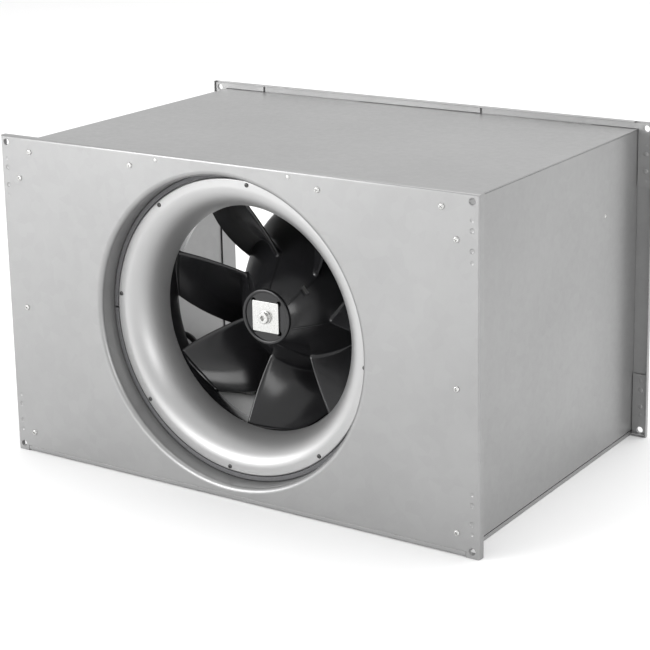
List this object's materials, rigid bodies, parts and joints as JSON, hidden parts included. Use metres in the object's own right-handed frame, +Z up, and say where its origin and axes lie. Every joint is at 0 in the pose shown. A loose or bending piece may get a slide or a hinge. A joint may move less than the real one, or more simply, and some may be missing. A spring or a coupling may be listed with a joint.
{
  "type": "inline duct fan",
  "caption": "Inline duct fan: rectangular galvanised casing with duct flanges at both ends, a round inlet nozzle and a black mixed-flow impeller on an external-rotor motor.",
  "frame": {"origin": "centre of the flat underside of the casing, below the fan's axis and half way between the inlet and outlet faces", "axes": "+Z up; air flows along +Y, from the inlet face at -Y to the outlet face at +Y; +X to the right seen from the inlet"},
  "size_m": [0.6656, 0.4259, 0.39],
  "materials": {
    "galvanised": "satin galvanised sheet with a faint spangle",
    "spun_steel": "smooth spun galvanised steel with turning lines",
    "zinc_plate": "bright zinc plate",
    "black_plastic": "glossy moulded",
    "black_fitting": "moulded",
    "cast_aluminium": "as cast",
    "rotor_steel": "black paint",
    "bearing_steel": "ground",
    "stator_copper": "lacquered winding",
    "rubber": "matt",
    "seal_foam": "matt",
    "grey_plastic": "fine grain",
    "cable_sheath": "satin"
  },
  "bodies": {
    "casing": {"base_pan": "galvanised", "cable_clip_base": "zinc_plate", "cable_clip_rail": "zinc_plate", "damper_lower_left": "rubber", "damper_lower_right": "rubber", "damper_upper_left": "rubber", "damper_upper_right": "rubber", "front_bearing": "bearing_steel", "front_corner_bottom_left": "galvanised", "front_corner_bottom_right": "galvanised", "front_corner_top_left": "galvanised", "front_corner_top_right": "galvanised", "front_panel": "galvanised", "front_screw_1": "zinc_plate", "front_screw_10": "zinc_plate", "front_screw_2": "zinc_plate", "front_screw_3": "zinc_plate", "front_screw_4": "zinc_plate", "front_screw_5": "zinc_plate", "front_screw_6": "zinc_plate", "front_screw_7": "zinc_plate", "front_screw_8": "zinc_plate", "front_screw_9": "zinc_plate", "front_sill": "galvanised", "front_stiffener": "galvanised", "inlet_nozzle": "spun_steel", "left_panel": "galvanised", "motor_cable": "cable_sheath", "motor_gland": "black_fitting", "motor_housing": "cast_aluminium", "motor_plate": "galvanised", "motor_rail_left": "galvanised", "motor_rail_right": "galvanised", "nozzle_carrier": "galvanised", "opening_seal": "seal_foam", "rear_bearing": "bearing_steel", "rear_corner_bottom_left": "galvanised", "rear_corner_bottom_right": "galvanised", "rear_corner_top_left": "galvanised", "rear_corner_top_right": "galvanised", "rear_flange_bottom": "galvanised", "rear_flange_left": "galvanised", "rear_flange_right": "galvanised", "rear_flange_top": "galvanised", "rear_stiffener": "galvanised", "right_panel": "galvanised", "stator_pack": "stator_copper", "supply_gland": "grey_plastic", "terminal_block": "grey_plastic", "terminal_box": "grey_plastic", "terminal_lid": "grey_plastic", "top_panel": "galvanised", "wall_grommet": "rubber"},
    "rotor": {"impeller": "black_plastic", "impeller_ring": "black_plastic", "clamp_plate": "zinc_plate", "hub_bolt": "zinc_plate", "balance_clip": "zinc_plate", "rotor_can": "rotor_steel", "motor_shaft": "bearing_steel"}
  },
  "joints": [
    {"name": "impeller_spin", "type": "hinge", "parent": "casing", "child": "rotor", "pos_m": [0, -0.05, 0.195], "axis": [0, 1, 0], "continuous": true}
  ]
}
